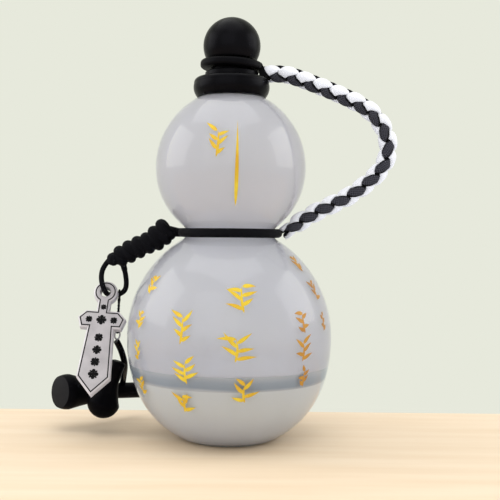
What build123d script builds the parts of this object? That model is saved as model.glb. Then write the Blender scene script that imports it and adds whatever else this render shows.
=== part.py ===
from build123d import *
from math import asin, atan2, cos, degrees, hypot, pi, radians, sin, sqrt, tan
import os

# Gourd-shaped drinking bottle with a screw lid, a ball cap over its drinking tube, a braided
# carry strap and a knotted lanyard with three charms. Millimetres. +Z is up, the origin is the
# centre of the base on the surface, the front is -Y, the strap is towards +X.

# Bottle: bulbs as arcs that meet with common tangents
lower_bulb_radius = 55.0
lower_bulb_height = 54.5
lower_shoulder_arc = 61.0
lower_side_arc = 80.0
side_arc_turn = 17.0
upper_bulb_radius = 40.5
upper_shoulder_arc = 43.0
waist_radius = 23.35
waist_groove_arc = 4.0
foot_radius = 24.0
wall = 2.2
foot_width = 4.5
punt_rise = 3.5
floor_thickness = 2.8
ledge_radius = 18.2
neck_radius = 15.8
neck_wall = 2.8
neck_height = 5.8

# Lid: collar, plates, gasket and drinking tube
collar_radius = 20.6
collar_foot_radius = 18.4
collar_top_radius = 17.2
collar_height = 10.6
collar_side_share = 0.48
collar_rounding_share = 0.72
collar_gap = 0.4
collar_roof = 2.0
thread_room = 0.5
seat_gap = 0.2
gasket_thickness = 1.4
gasket_width = 3.2
seal_plate_thickness = 1.6
hub_radius = 9.0
hub_drop = 2.0
lip_radius = 14.4
lip_thickness = 3.4
lip_edge_round = 0.9
spout_neck_radius = 10.4
spout_neck_height = 6.4
spout_radius = 7.2
spout_length = 10.0
spout_bore_radius = 4.5
spout_rim_round = 0.8

# Ball cap
ball_radius = 15.5
ball_cut_drop = 7.3
ball_gap = 0.3
ball_bore_clearance = 0.4
ball_bore_depth = 13.0
socket_wall = 2.0
core_width = 2.4
core_depth = 7.5
liner_thickness = 2.7
liner_clearance = 0.3
plug_length = 2.0
plug_clearance = 0.3

# Strap ring and its tongue
ring_clearance = 0.4
ring_width = 6.2
ring_thickness = 4.4
ring_round = 1.7
ring_tilt = 3.0
tongue_width = 9.6
tongue_reach = 1.4
tongue_drop = 8.2
tongue_slope = 25.0
tongue_clearance = 0.5
tongue_round = 0.8
boss_radius = 2.1

# Cords
waist_cord_diameter = 4.8
strap_diameter = 9.2
loop_cord_diameter = 2.8
string_diameter = 1.5
pendant_cord_diameter = 3.5
cord_gap = 0.3
arc_share = 0.45

# Knot bar on the left
knot_lumps = 6
knot_out = 10.88
knot_rise = 0.6
knot_radius = 7.1
knot_valley_radius = 5.7
knot_end_share = 0.8
knot_slope = 25.2
knot_neck_radius = 2.4
knot_neck_length = 5.0
knot_gap = 1.0
knot_tail_length = 1.6
knot_tail_radius = 3.4

# Sword charm
sword_thickness = 4.5
sword_depth = -1.0
sword_pitch = 28.0
sword_lean = 3.5
sword_bevel = 0.9
eye_radius = 5.5
eye_hole_radius = 2.7
grip_half_width = 2.5
guard_top = 11.8
guard_depth = 8.1
guard_half_width = 11.8
guard_top_share = 0.71
guard_foot_share = 0.87
guard_tip_share = 0.43
blade_root_half_width = 6.1
blade_half_width = 7.9
blade_length = 27.6
blade_tip = 8.6

# Ring and clubs at the end of the string
string_eye_wire = 1.0
wire_ring_radius = 2.3
wire_diameter = 0.9
wire_ring_turn = 60.0
club_head_radius = 9.7
club_handle_radius = 4.5
club_length = 57.0
small_club_head_radius = 8.7
small_club_handle_radius = 3.8
small_club_length = 32.6
flat_end_shares = (0.06, 0.9, 0.975, 0.6)
round_end_shares = (0.3, 0.714, 0.866, 1.0)
club_taper_share = 0.66
club_middle_share = 0.4

# Base corner: one arc from the side down to the foot's outer edge
side_centre = lower_bulb_radius - lower_side_arc
side_normal = (cos(radians(side_arc_turn)), -sin(radians(side_arc_turn)))
side_end_r = side_centre + lower_side_arc * side_normal[0]
side_end_z = lower_bulb_height + lower_side_arc * side_normal[1]
foot_run = side_end_r - foot_radius
run_along_normal = foot_run * side_normal[0] + side_end_z * side_normal[1]
base_corner_arc = (foot_run**2 + side_end_z**2) / (2 * run_along_normal)
corner_centre_r = side_end_r - base_corner_arc * side_normal[0]
corner_centre_z = side_end_z - base_corner_arc * side_normal[1]
foot_inner = foot_radius - foot_width

# Waist and upper bulb: the groove's arc touches both bulbs
shoulder_centre = lower_bulb_radius - lower_shoulder_arc
groove_r = waist_radius + waist_groove_arc
shoulder_reach = lower_shoulder_arc + waist_groove_arc
upper_reach = upper_bulb_radius + waist_groove_arc
groove_z = lower_bulb_height + sqrt(shoulder_reach**2 - (groove_r - shoulder_centre) ** 2)
upper_bulb_height = groove_z + sqrt(upper_reach**2 - groove_r**2)
waist_outer = waist_radius + waist_cord_diameter + cord_gap / 3

# Levels of the lid
crown_centre = upper_bulb_radius - upper_shoulder_arc
ledge_z = upper_bulb_height + sqrt(upper_shoulder_arc**2 - (ledge_radius - crown_centre) ** 2)
mouth_z = ledge_z + neck_height
bore_radius = neck_radius - neck_wall
gasket_z = mouth_z + seat_gap
plate_z = gasket_z + gasket_thickness
roof_z = plate_z + seal_plate_thickness
collar_z = ledge_z + collar_gap
collar_top = roof_z + collar_roof
lip_top = collar_top + lip_thickness
spout_neck_top = lip_top + spout_neck_height
spout_top = spout_neck_top + spout_length
ball_cut = spout_neck_top + ball_gap
ball_z = ball_cut + ball_cut_drop
ball_bore_radius = spout_radius + ball_bore_clearance
ring_z = (lip_top + ball_cut) / 2
ring_inner = spout_neck_radius + ring_clearance
ring_outer = ring_inner + ring_width
tongue_face = ring_outer + tongue_reach
boss_face = collar_radius + cord_gap / 3
strap_z = ring_z - tongue_drop / 2

# Knot bar: from the waist cord to a little outside the lower bulb
knot_start_x = -waist_outer - knot_gap
knot_start_z = groove_z + knot_rise
knot_end_x = -lower_bulb_radius - knot_out
knot_span = (knot_start_x - knot_end_x) / cos(radians(knot_slope))
knot_end_z = knot_start_z - knot_span * sin(radians(knot_slope))
knot_pitch = (knot_span - knot_neck_length - knot_tail_length) / knot_lumps


upper_centre = (0, upper_bulb_height)
crown_point = (crown_centre, upper_bulb_height)
shoulder_point = (shoulder_centre, lower_bulb_height)
side_point = (side_centre, lower_bulb_height)
corner_point = (corner_centre_r, corner_centre_z)
groove_point = (groove_r, groove_z)


def angle_to(centre, point):
    """Angle in degrees of a point seen from a centre."""
    return degrees(atan2(point[1] - centre[1], point[0] - centre[0]))


def arc(centre, radius, start, end):
    """Arc about a centre, from one angle to another."""
    return CenterArc(centre, radius, start, end - start)


def turned(outline):
    """Solid of revolution about Z of a closed outline in radius and height."""
    return revolve(Plane.XZ * make_face(outline), Axis.Z)


def bulbs(inset):
    """Both bulbs from the base corner up to the crown, moved in from the outside by an inset."""
    to_lower = angle_to(groove_point, shoulder_point)
    to_upper = angle_to(groove_point, upper_centre)
    groove = waist_groove_arc + inset
    side = arc(side_point, lower_side_arc - inset, -side_arc_turn, 0)
    shoulder = arc(shoulder_point, lower_shoulder_arc - inset, 0, to_lower + 180)
    waist = CenterArc(groove_point, groove, to_lower + 360, to_upper - to_lower - 360)
    belly = arc(upper_centre, upper_bulb_radius - inset, to_upper - 180, 0)
    return side + shoulder + waist + belly


def height_at(centre, radius, r):
    """Height at which an arc about a centre passes a radius."""
    return centre[1] + sqrt(radius**2 - (r - centre[0]) ** 2)


def cap_arc(r, z, rise):
    """Shallow dome from a rim point to the axis."""
    dome = (r**2 + rise**2) / (2 * rise)
    return arc((0, z + rise - dome), dome, degrees(asin((dome - rise) / dome)), 90)


def bottle_body():
    """Clear double-bulb shell with a foot ring, a pushed-up base, a ledge and a short neck."""
    corner = arc(corner_point, base_corner_arc, angle_to(corner_point, (foot_radius, 0)), -side_arc_turn)
    crown_end = angle_to(crown_point, (ledge_radius, ledge_z))
    outside = (
        cap_arc(foot_inner, 0, punt_rise)
        + Line((foot_inner, 0), (foot_radius, 0))
        + corner
        + bulbs(0)
        + arc(crown_point, upper_shoulder_arc, 0, crown_end)
        + Polyline((ledge_radius, ledge_z), (neck_radius, ledge_z), (neck_radius, mouth_z), (0, mouth_z))
        + Line((0, mouth_z), (0, punt_rise))
    )
    inner_corner = base_corner_arc - wall
    floor_r = corner_centre_r + sqrt(inner_corner**2 - (corner_centre_z - floor_thickness) ** 2)
    start = angle_to(corner_point, (floor_r, floor_thickness))
    inner_crown = upper_shoulder_arc - wall
    bore_z = height_at(crown_point, inner_crown, bore_radius)
    inside = (
        cap_arc(floor_r, floor_thickness, punt_rise)
        + arc(corner_point, inner_corner, start, -side_arc_turn)
        + bulbs(wall)
        + arc(crown_point, inner_crown, 0, angle_to(crown_point, (bore_radius, bore_z)))
        + Polyline((bore_radius, bore_z), (bore_radius, mouth_z), (0, mouth_z))
        + Line((0, mouth_z), (0, floor_thickness + punt_rise))
    )
    return turned(outside) - turned(inside)


def lid_collar():
    """Black screw collar: bulging side drawn in at the foot, rounded top edge, roof with a hole."""
    inner = neck_radius + thread_room
    side_z = collar_z + collar_height * collar_side_share
    rounding_z = collar_z + collar_height * collar_rounding_share
    rounding_r = collar_radius - (collar_radius - collar_foot_radius) * collar_side_share**3
    crest_r = collar_top_radius + (rounding_r - collar_top_radius) * collar_rounding_share
    crest_z = collar_top - (collar_top - rounding_z) * collar_side_share / 2
    outline = (
        ThreePointArc((collar_foot_radius, collar_z), (collar_radius, side_z), (rounding_r, rounding_z))
        + ThreePointArc((rounding_r, rounding_z), (crest_r, crest_z), (collar_top_radius, collar_top))
        + Polyline(
            (collar_top_radius, collar_top),
            (hub_radius, collar_top),
            (hub_radius, roof_z),
            (inner, roof_z),
            (inner, collar_z),
            (collar_foot_radius, collar_z),
        )
    )
    return turned(outline)


def drinking_spout():
    """Lip plate on the collar, round neck for the ring, drinking tube, and the hub below."""
    hub_z = mouth_z - hub_drop
    outline = Polyline(
        (spout_bore_radius, hub_z),
        (hub_radius, hub_z),
        (hub_radius, collar_top),
        (lip_radius, collar_top),
        (lip_radius, lip_top),
        (spout_neck_radius, lip_top),
        (spout_neck_radius, spout_neck_top),
        (spout_radius, spout_neck_top),
        (spout_radius, spout_top),
        (spout_bore_radius, spout_top),
        (spout_bore_radius, hub_z),
    )
    body = turned(outline)
    circles = body.edges().filter_by(GeomType.CIRCLE)
    body = fillet(circles.filter_by(lambda e: abs(e.radius - lip_radius) < seat_gap), lip_edge_round)
    rim_edges = body.edges().filter_by(GeomType.CIRCLE).sort_by(Axis.Z)[-2:]
    return fillet(rim_edges, spout_rim_round)


def lid_seal_plate():
    """Plate under the collar's roof, round the hub, that carries the gasket."""
    return Location((0, 0, plate_z)) * extrude(Circle(neck_radius) - Circle(hub_radius), seal_plate_thickness)


def lid_gasket():
    """Flat sealing ring that rests on the bottle's mouth."""
    ring = Circle(neck_radius) - Circle(neck_radius - gasket_width)
    return Location((0, 0, gasket_z)) * extrude(ring, gasket_thickness)


def ball_cap():
    """Ball cut flat below, with the socket for the drinking tube and a cored-out ring."""
    ball = Location((0, 0, ball_z)) * Sphere(ball_radius)
    below = Location((0, 0, ball_cut)) * Box(
        2 * ball_radius, 2 * ball_radius, ball_radius, align=(Align.CENTER, Align.CENTER, Align.MAX)
    )
    bore = Cylinder(ball_bore_radius, ball_bore_depth, align=(Align.CENTER, Align.CENTER, Align.MIN))
    core_inner = ball_bore_radius + socket_wall
    core = Cylinder(core_inner + core_width, core_depth, align=(Align.CENTER, Align.CENTER, Align.MIN))
    core -= Cylinder(core_inner, core_depth, align=(Align.CENTER, Align.CENTER, Align.MIN))
    return ball - below - Location((0, 0, ball_cut)) * bore - Location((0, 0, ball_cut)) * core


def ball_cap_liner():
    """Soft disc in the ball's socket, with a plug that closes the drinking hole."""
    bottom = spout_top + liner_clearance
    disc = Cylinder(
        ball_bore_radius - liner_clearance, liner_thickness, align=(Align.CENTER, Align.CENTER, Align.MIN)
    )
    plug = Cylinder(
        spout_bore_radius - plug_clearance,
        plug_length + liner_clearance,
        align=(Align.CENTER, Align.CENTER, Align.MAX),
    )
    return Location((0, 0, bottom)) * (disc + plug)


def tongue_x(z):
    """How far out the tongue's sloping face lies at a height."""
    return tongue_face + (strap_z - z) * tan(radians(tongue_slope))


def strap_ring():
    """Ring round the spout's neck, tilted, with a sloping tongue on the right and a boss for the strap."""
    section = RectangleRounded(ring_width, ring_thickness, ring_round)
    section = Location((ring_inner + ring_width / 2, 0)) * section
    ring = Location((0, 0, ring_z), (0, ring_tilt, 0)) * revolve(Plane.XZ * section, Axis.Z)
    root = ring_outer - ring_width * collar_side_share
    right_z = ring_z - ring_outer * sin(radians(ring_tilt))
    top, bottom = right_z + ring_thickness / 2 - cord_gap, right_z - ring_thickness / 2 + cord_gap
    inner, under = lip_radius + 2 * cord_gap, collar_top + tongue_clearance
    low = collar_top - cord_gap
    outline = Polyline(
        (root, top),
        (tongue_x(top), top),
        (tongue_x(low), low),
        (tongue_face - seat_gap, under),
        (inner, under),
        (inner, bottom),
        (root, bottom),
        (root, top),
    )
    tongue = extrude(Plane.XZ * make_face(outline), tongue_width / 2, both=True)
    plan = RectangleRounded(2 * boss_face, tongue_width, tongue_round)
    plan = Location((tongue_x(under) - boss_face, 0)) * plan
    tongue &= Location((0, 0, low)) * extrude(plan, top - low)
    boss_root = ring_outer - tongue_reach
    boss = Cylinder(boss_radius, boss_face - boss_root, align=(Align.CENTER, Align.CENTER, Align.MIN))
    return ring + tongue + Location((boss_root, 0, strap_z), (0, 90, 0)) * boss


def waist_cord():
    """Cord tied round the waist, in the groove between the bulbs."""
    ring_centre = waist_outer - waist_cord_diameter / 2
    return Location((0, 0, groove_z)) * Torus(ring_centre, waist_cord_diameter / 2)


def corner_radii(points):
    """For each inner point the largest arc that its two runs allow."""
    radii = []
    for before, here, after in zip(points, points[1:], points[2:]):
        run_in, run_out = Vector(*here) - Vector(*before), Vector(*after) - Vector(*here)
        half_turn = radians(run_in.get_angle(run_out) / 2)
        radii.append(arc_share * min(run_in.length, run_out.length) / tan(half_turn))
    return radii


def cord_tube(name, points, diameter):
    """Round tube along straight runs joined by tangent arcs."""
    radii = corner_radii(points)
    path = FilletPolyline(*points, radius=radii)
    tube = sweep(Plane(origin=path @ 0, z_dir=path % 0) * Circle(diameter / 2), path=path)
    expected = path.length * pi * (diameter / 2) ** 2
    print(name, "length", round(path.length, 1), "radii", [round(r, 1) for r in radii])
    print(name, "volume over section times length", round(tube.volume / expected, 4))
    return tube


# Carry strap: how far out from the upper bulb's side, how far back, and the share of the height from
# the waist up to the strap ring's tongue
strap_shape = [
    (-12.0, -0.4, 1.003),
    (-1.0, -0.8, 0.961),
    (17.5, -1.5, 0.876),
    (33.0, -2.2, 0.791),
    (41.4, -2.6, 0.683),
    (44.9, -2.6, 0.558),
    (42.9, -2.3, 0.4385),
    (35.5, -1.8, 0.337),
    (22.7, -1.2, 0.227),
    (7.7, -0.5, 0.148),
    (-2.7, -0.1, 0.0765),
]
strap_end_gap = 0.65

# Lanyard: places seen from the knot bar's end
eye_offset = (-0.87, -16.8)
loop_shape = [
    (1.5, -0.8, 2.3),
    (-2.3, -2.2, -1.9),
    (-3.5, -3.6, -8.2),
    (-1.4, -5.4, -14.88),
    (-0.1, 4.6, -18.48),
    (8.6, 4.6, -17.0),
    (10.0, 2.8, -9.8),
    (8.5, 0.8, -2.9),
]
string_offset = (5.6, 4.6, -17.51)

# Hanging cord and clubs: how far to the right of the knot bar's end, how far back, and the height
string_foot_place = (4.7, 4.2, 56.1)
pendant_cord_shape = [
    (4.3, 4.4, 50.5),
    (6.0, 6.0, 47.0),
    (7.3, 9.8, 41.5),
    (8.0, 14.5, 35.5),
    (5.6, 27.0, 27.0),
    (3.8, 36.6, 20.95),
]
level_club_head = (-27.5, 8.0, 21.6)
level_club_tail = (13.5, 47.1, 15.9)
upright_club_foot = (-6.1, 6.0, 8.6)
upright_club_top = (5.6, 6.0, 39.0)


def from_knot(place, height=0):
    """Point of the lanyard, moved from the knot bar's end to its place in the frame."""
    return (knot_end_x + place[0], place[1], height + place[2])


def strap_route():
    """Points of the carry strap, from the boss on the strap ring's tongue to the waist cord."""
    rise = strap_z - groove_z
    middle = [(upper_bulb_radius + out, back, groove_z + share * rise) for out, back, share in strap_shape]
    return [(boss_face + cord_gap, 0, strap_z), *middle, (waist_outer + strap_end_gap, 0, groove_z)]


def lanyard_knot():
    """Bar of rounded lumps that stands out from the waist cord and slopes down to the left."""
    outline = Line((0, 0), (knot_neck_radius, 0))
    outline += Line((knot_neck_radius, 0), (knot_neck_radius, knot_neck_length))
    outline += Line((knot_neck_radius, knot_neck_length), (knot_valley_radius, knot_neck_length))
    for lump in range(knot_lumps):
        low = knot_neck_length + lump * knot_pitch
        middle, high = low + knot_pitch / 2, low + knot_pitch
        before, at, after = (1 - (1 - knot_end_share) * (lump + part) / knot_lumps for part in (0, 1 / 2, 1))
        start, end = (knot_valley_radius * before, low), (knot_valley_radius * after, high)
        outline += ThreePointArc(start, (knot_radius * at, middle), end)
    high = knot_span - knot_tail_length
    tail_root = (knot_valley_radius * knot_end_share, high)
    outline += Polyline(tail_root, (knot_tail_radius, knot_span), (0, knot_span), (0, 0))
    return Location((knot_start_x, 0, knot_start_z)) * Rotation(0, -90 - knot_slope, 0) * turned(outline)


def sword_outline():
    """Front face of the sword: grip, winged guard and a blade that widens to its point, with the eye."""
    guard_foot = guard_top + guard_depth
    blade_end = guard_foot + blade_length
    half = [
        (grip_half_width, 0),
        (grip_half_width, -guard_top),
        (guard_half_width * guard_top_share, -guard_top),
        (guard_half_width, -guard_top - guard_depth * guard_tip_share),
        (guard_half_width * guard_foot_share, -guard_foot),
        (blade_root_half_width, -guard_foot),
        (blade_half_width, -blade_end),
    ]
    tip = (0, -blade_end - blade_tip)
    mirrored = [(-x, y) for x, y in reversed(half)]
    return make_face(Polyline(*half, tip, *mirrored, half[0])) + Circle(eye_radius)


def sword_pendant():
    """Flat sword with bevelled front edges, hung from its eye, its point pushed out to the front."""
    outline = offset(sword_outline(), sword_bevel, kind=Kind.INTERSECTION)
    plate = extrude(outline, sword_thickness / 2, both=True)
    plate = chamfer(plate.faces().sort_by(Axis.Z)[-1].edges(), sword_bevel)
    plate -= extrude(Circle(eye_hole_radius), sword_thickness, both=True)
    pitch = radians(sword_pitch)
    eye = from_knot((eye_offset[0], sword_depth, eye_offset[1]), knot_end_z)
    front = Plane(origin=eye, x_dir=(1, 0, 0), z_dir=(0, -cos(pitch), sin(pitch)))
    return front * Rotation(0, 0, -sword_lean) * plate


def wire_ring_centre():
    """Centre of the small wire ring, hung in the string's lower eye."""
    x, y, z = from_knot(string_foot_place)
    return (x, y, z - wire_ring_radius)


def pendant_string():
    """Thin string with an eye round the lanyard loop and a smaller eye round the wire ring."""
    upper = Vector(*from_knot(string_offset, knot_end_z))
    lower = Vector(*from_knot(string_foot_place))
    upper_radius = (loop_cord_diameter + string_eye_wire) / 2 + cord_gap
    lower_radius = (wire_diameter + string_eye_wire) / 2 + cord_gap / 2
    run = (lower - upper).normalized()
    start, end = upper + run * upper_radius, lower - run * lower_radius
    bar = extrude(Plane(origin=start, z_dir=run) * Circle(string_diameter / 2), (end - start).length)
    across = Rotation(0, 90, 0)
    upper_eye = Location(upper) * across * Torus(upper_radius, string_eye_wire / 2)
    turned_across = Rotation(0, 0, wire_ring_turn) * across
    lower_eye = Location(lower) * turned_across * Torus(lower_radius, string_eye_wire / 2)
    return bar + upper_eye + lower_eye


def pendant_ring():
    """Small wire ring at the foot of the string."""
    upright = Rotation(0, 0, wire_ring_turn) * Rotation(90, 0, 0)
    return Location(wire_ring_centre()) * upright * Torus(wire_ring_radius, wire_diameter / 2)


def club(foot, top, length, head, handle, end_shares):
    """Club with a flat or round end on its head and a handle that narrows away from it."""
    rise_share, face_share, cheek_share, shoulder_share = end_shares
    rise, face_r, shoulder = head * rise_share, head * face_share, head * shoulder_share
    taper_end = length * club_taper_share
    middle_r = handle + (head - handle) * club_middle_share
    outline = (
        ThreePointArc((0, 0), (face_r / 2, rise / 4), (face_r, rise))
        + ThreePointArc((face_r, rise), (head * cheek_share, shoulder / 2), (head, shoulder))
        + ThreePointArc((head, shoulder), (middle_r, (shoulder + taper_end) / 2), (handle, taper_end))
        + Polyline((handle, taper_end), (handle, length), (0, length), (0, 0))
    )
    axis = Vector(*top) - Vector(*foot)
    return Plane(origin=foot, x_dir=Vector(0, 1, 0).cross(axis), z_dir=axis) * turned(outline)


def level_club():
    """Club that lies level behind the sword, its flat end to the left and the front."""
    foot, top = from_knot(level_club_head), from_knot(level_club_tail)
    return club(foot, top, club_length, club_head_radius, club_handle_radius, flat_end_shares)


def upright_club():
    """Shorter club that stands behind the sword's point, its round head down."""
    foot, top = from_knot(upright_club_foot), from_knot(upright_club_top)
    sizes = (small_club_length, small_club_head_radius, small_club_handle_radius)
    return club(foot, top, *sizes, round_end_shares)


def parts():
    """Every node by name."""
    loop_route = [from_knot(place, knot_end_z) for place in loop_shape]
    pendant_route = [from_knot(place) for place in pendant_cord_shape]
    return {
        "bottle_body": bottle_body(),
        "lid_collar": lid_collar(),
        "drinking_spout": drinking_spout(),
        "lid_seal_plate": lid_seal_plate(),
        "lid_gasket": lid_gasket(),
        "ball_cap": ball_cap(),
        "ball_cap_liner": ball_cap_liner(),
        "strap_ring": strap_ring(),
        "carry_strap": cord_tube("carry_strap", strap_route(), strap_diameter),
        "waist_cord": waist_cord(),
        "lanyard_knot": lanyard_knot(),
        "lanyard_loop": cord_tube("lanyard_loop", loop_route, loop_cord_diameter),
        "sword_pendant": sword_pendant(),
        "pendant_string": pendant_string(),
        "pendant_ring": pendant_ring(),
        "pendant_cord": cord_tube("pendant_cord", pendant_route, pendant_cord_diameter),
        "club_level": level_club(),
        "club_upright": upright_club(),
    }


os.makedirs("parts", exist_ok=True)
for name, solid in parts().items():
    solid.label = name
    export_step(solid, "parts/" + name + ".step")
print("waist radius", round(waist_radius, 2), "at", round(groove_z, 2), "top", round(ball_z + ball_radius, 1))
print("knot end", round(knot_end_x, 2), round(knot_end_z, 2), "pitch", round(knot_pitch, 2))
print("upper bulb", round(upper_bulb_height, 2), "base corner arc", round(base_corner_arc, 2))
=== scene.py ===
import math

import bmesh
import bpy
import numpy as np
from mathutils import Matrix, Vector


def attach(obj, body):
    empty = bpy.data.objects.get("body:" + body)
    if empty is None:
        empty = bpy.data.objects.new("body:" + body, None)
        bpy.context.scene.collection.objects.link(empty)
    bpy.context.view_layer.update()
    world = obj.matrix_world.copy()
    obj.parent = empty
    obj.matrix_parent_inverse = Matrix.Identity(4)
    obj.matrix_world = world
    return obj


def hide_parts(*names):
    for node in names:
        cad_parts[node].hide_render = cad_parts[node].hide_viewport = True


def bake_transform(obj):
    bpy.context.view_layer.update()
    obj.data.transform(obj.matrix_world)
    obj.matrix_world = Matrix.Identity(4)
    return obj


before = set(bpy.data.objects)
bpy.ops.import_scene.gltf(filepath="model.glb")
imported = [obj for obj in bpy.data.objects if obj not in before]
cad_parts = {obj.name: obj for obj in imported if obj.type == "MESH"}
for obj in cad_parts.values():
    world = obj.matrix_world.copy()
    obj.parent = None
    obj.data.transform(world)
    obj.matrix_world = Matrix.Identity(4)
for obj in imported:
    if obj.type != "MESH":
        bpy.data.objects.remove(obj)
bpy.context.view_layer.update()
scene = bpy.context.scene
scene.view_settings.view_transform = "Standard"
MM = 0.001


# meshes


class Shape:
    """Collects grids and fans of points in millimetres and makes one mesh of them, in metres."""

    def __init__(self):
        self.points, self.faces, self.uvs, self.marks = [], [], [], []
        self.count = 0

    def _add(self, points):
        first = self.count
        self.points.extend(tuple(float(c) for c in p) for p in points)
        self.count += len(points)
        return first

    def grid(self, rows, around=True, ring=False, us=None, vs=None, mark=0, caps=(False, False)):
        """Rows of points, joined row to row; around joins the last column to the first, ring the last row.

        The mark is the material's number, or a list with one for each band between two rows.
        """
        rows = np.asarray(rows, float)
        n, m = rows.shape[:2]
        first = self._add(rows.reshape(-1, 3))
        us = np.arange(n + 1, dtype=float) if us is None else us
        vs = np.linspace(0, 1, m + 1) if vs is None else vs
        bands = mark if isinstance(mark, list) else [mark] * n
        for i in range(n if ring else n - 1):
            below, above = first + i * m, first + ((i + 1) % n) * m
            for j in range(m if around else m - 1):
                k = (j + 1) % m
                self.faces.append((below + j, below + k, above + k, above + j))
                corners = ((i, j), (i, j + 1), (i + 1, j + 1), (i + 1, j))
                self.uvs.append(tuple((us[a], vs[b]) for a, b in corners))
                self.marks.append(bands[i])
        for row, wanted in ((0, caps[0]), (n - 1, caps[1])):
            if wanted:
                self.fan(rows[row], bands[0 if row == 0 else n - 2], first + row * m)

    def fan(self, ring, mark=0, first=None):
        """Closes a ring of points with triangles to its middle."""
        first = self._add(ring) if first is None else first
        centre = self._add([np.mean(np.asarray(ring, float), axis=0)])
        m = len(ring)
        for j in range(m):
            self.faces.append((first + j, first + (j + 1) % m, centre))
            self.uvs.append(((0, j / m), (0, (j + 1) / m), (0.5, j / m)))
            self.marks.append(mark)

    def make(self, name, materials, smooth=40.0, solid=True):
        mesh = bpy.data.meshes.new(name)
        mesh.from_pydata([(x * MM, y * MM, z * MM) for x, y, z in self.points], [], self.faces)
        layer = mesh.uv_layers.new(name="UVMap")
        layer.data.foreach_set("uv", np.array([c for face in self.uvs for p in face for c in p], np.float32))
        for material in materials:
            mesh.materials.append(material)
        mesh.polygons.foreach_set("material_index", self.marks)
        if solid:
            work = bmesh.new()
            work.from_mesh(mesh)
            bmesh.ops.recalc_face_normals(work, faces=work.faces)
            work.to_mesh(mesh)
            work.free()
        mesh.polygons.foreach_set("use_smooth", [True] * len(mesh.polygons))
        if smooth < 180:
            mesh.set_sharp_from_angle(angle=math.radians(smooth))
        obj = bpy.data.objects.new(name, mesh)
        scene.collection.objects.link(obj)
        return obj


def place(obj, body, nodes=()):
    """Gives a new piece its body and the CAD nodes that it stands for."""
    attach(obj, body)
    if nodes:
        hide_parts(*nodes)
    return obj


def turned_rows(profile, steps):
    """Rings of a profile in radius and height, turned about Z."""
    angles = np.arange(steps) * 2 * math.pi / steps
    profile = np.asarray(profile, float)
    x = profile[:, :1] * np.sin(angles)
    y = -profile[:, :1] * np.cos(angles)
    return np.stack([x, y, np.repeat(profile[:, 1:], steps, axis=1)], axis=2)


def full_turn(count):
    return np.linspace(0, 2 * math.pi, count, endpoint=False)


def unit(v):
    v = np.asarray(v, float)
    return v / np.maximum(np.linalg.norm(v, axis=-1, keepdims=True), 1e-12)


def directions(points):
    """Unit direction along a line at each of its points."""
    return unit(np.gradient(points, axis=0))


def carried_frames(points, closed=False):
    """Two unit vectors across a line at each point, carried along it without twist."""
    along = directions(points)
    if closed:
        along = unit(np.roll(points, -1, axis=0) - np.roll(points, 1, axis=0))
    side = np.cross(along[0], (0.31, 0.22, 0.92))
    sides = []
    for d in along:
        side = side - d * np.dot(side, d)
        side = side / np.linalg.norm(side)
        sides.append(side)
    sides = np.array(sides)
    return sides, np.cross(along, sides)


def tube(shape, points, radius, steps, closed=False):
    """Adds a round tube along points; radius is a number or one for each point."""
    points = np.asarray(points, float)
    a, b = carried_frames(points, closed)
    radius = np.broadcast_to(np.asarray(radius, float), (len(points),))[:, None, None]
    angles = np.arange(steps) * 2 * math.pi / steps
    rows = points[:, None] + radius * (
        np.cos(angles)[None, :, None] * a[:, None] + np.sin(angles)[None, :, None] * b[:, None]
    )
    run = np.concatenate([[0], np.cumsum(np.linalg.norm(np.diff(points, axis=0), axis=1))])
    us = np.append(run, run[-1] + np.linalg.norm(points[0] - points[-1]))
    around = 2 * math.pi * float(np.mean(radius))
    vs = np.linspace(0, around, steps + 1)
    shape.grid(rows, True, closed, us, vs, caps=(not closed, not closed))


def spaced(points, step):
    """The same line with points at even spacing."""
    points = np.asarray(points, float)
    run = np.concatenate([[0], np.cumsum(np.linalg.norm(np.diff(points, axis=0), axis=1))])
    count = max(2, int(round(run[-1] / step)) + 1)
    at = np.linspace(0, run[-1], count)
    return np.stack([np.interp(at, run, points[:, c]) for c in range(3)], axis=1), at


def route_curve(name, route):
    """Smooth curve that has a route's points as its control points."""
    data = bpy.data.curves.new(name, "CURVE")
    data.dimensions = "3D"
    data.resolution_u = 24
    spline = data.splines.new("NURBS")
    spline.points.add(len(route) - 1)
    for point, place_of in zip(spline.points, route):
        point.co = (*[c * MM for c in place_of], 1)
    spline.order_u = 3
    spline.use_endpoint_u = True
    obj = bpy.data.objects.new(name, data)
    scene.collection.objects.link(obj)
    return obj


def curve_points(obj):
    """Points of a curve without a bevel, in millimetres."""
    bpy.context.view_layer.update()
    evaluated = obj.evaluated_get(bpy.context.evaluated_depsgraph_get())
    mesh = bpy.data.meshes.new_from_object(evaluated)
    points = np.array([v.co for v in mesh.vertices], float) / MM
    bpy.data.meshes.remove(mesh)
    return points


# materials


def material(name):
    made = bpy.data.materials.new(name)
    made.use_nodes = True
    return made, made.node_tree, made.node_tree.nodes["Principled BSDF"]


def node(tree, kind, **values):
    made = tree.nodes.new(kind)
    for key, value in values.items():
        setattr(made, key, value)
    return made


def object_place(tree):
    """Places on the object itself, in metres."""
    return node(tree, "ShaderNodeTexCoord").outputs["Object"]


def parts_of(tree, vector):
    made = node(tree, "ShaderNodeSeparateXYZ")
    tree.links.new(vector, made.inputs["Vector"])
    return made.outputs


def stretched_place(tree, scale):
    made = node(tree, "ShaderNodeMapping")
    tree.links.new(object_place(tree), made.inputs["Vector"])
    made.inputs["Scale"].default_value = scale
    return made.outputs["Vector"]


def noise(tree, scale, detail=3.0, vector=None):
    made = node(tree, "ShaderNodeTexNoise")
    made.inputs["Scale"].default_value = scale
    made.inputs["Detail"].default_value = detail
    tree.links.new(object_place(tree) if vector is None else vector, made.inputs["Vector"])
    return made.outputs["Fac"]


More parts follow.
